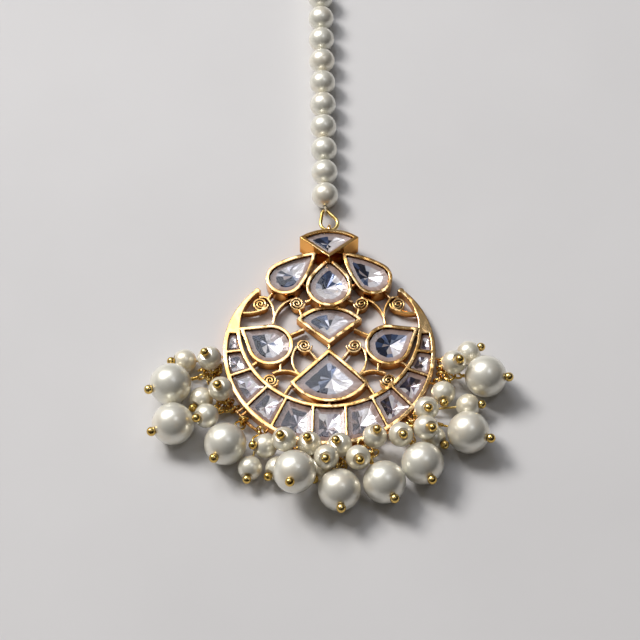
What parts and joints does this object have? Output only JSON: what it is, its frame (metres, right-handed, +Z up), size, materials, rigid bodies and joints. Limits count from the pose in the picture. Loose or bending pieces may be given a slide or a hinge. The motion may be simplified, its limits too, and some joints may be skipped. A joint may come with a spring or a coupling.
{
  "type": "maang tikka",
  "caption": "Gold forehead pendant: stone-set crescent round openwork, leaf and fan cups, hung with pearl drops, on a string of pearls with a wire hair hook.",
  "frame": {"origin": "Middle of the bottom of the bounding box of the ornament lying on its back", "axes": "+Y along the string of pearls towards the hair hook, +X to the viewer's right, +Z up out of the stones' tables"},
  "size_m": [0.0664, 0.1368, 0.0106],
  "materials": {
    "gold": "polished gold plate",
    "pin_gold": "aged gold plate",
    "pearl": "nacreous",
    "stone": "faceted, foil behind",
    "thread": "waxed"
  },
  "bodies": {
    "root": {"bail": "gold", "crescent_stone_01": "stone", "crescent_stone_02": "stone", "crescent_stone_03": "stone", "crescent_stone_04": "stone", "crescent_stone_05": "stone", "crescent_stone_06": "stone", "crescent_stone_07": "stone", "crescent_stone_08": "stone", "crescent_stone_09": "stone", "crescent_stone_10": "stone", "crescent_stone_11": "stone", "gold_frame": "gold", "hair_hook": "pin_gold", "jump_rings": "pin_gold", "large_pearl_a": "pearl", "large_pearl_b": "pearl", "large_pearl_c": "pearl", "large_pearl_d": "pearl", "large_pearl_e": "pearl", "large_pearl_f": "pearl", "large_pearl_g": "pearl", "large_pearl_h": "pearl", "large_pearl_i": "pearl", "large_pin_a": "pin_gold", "large_pin_b": "pin_gold", "large_pin_c": "pin_gold", "large_pin_d": "pin_gold", "large_pin_e": "pin_gold", "large_pin_f": "pin_gold", "large_pin_g": "pin_gold", "large_pin_h": "pin_gold", "large_pin_i": "pin_gold", "lower_fan_stone": "stone", "pear_left_stone": "stone", "pear_right_stone": "stone", "petal_centre_stone": "stone", "petal_left_stone": "stone", "petal_right_stone": "stone", "small_pearls_left": "pearl", "small_pearls_middle": "pearl", "small_pearls_right": "pearl", "small_pins_left": "pin_gold", "small_pins_middle": "pin_gold", "small_pins_right": "pin_gold", "string_pearls": "pearl", "string_thread": "thread", "top_fan_stone": "stone", "upper_fan_stone": "stone"}
  },
  "joints": []
}
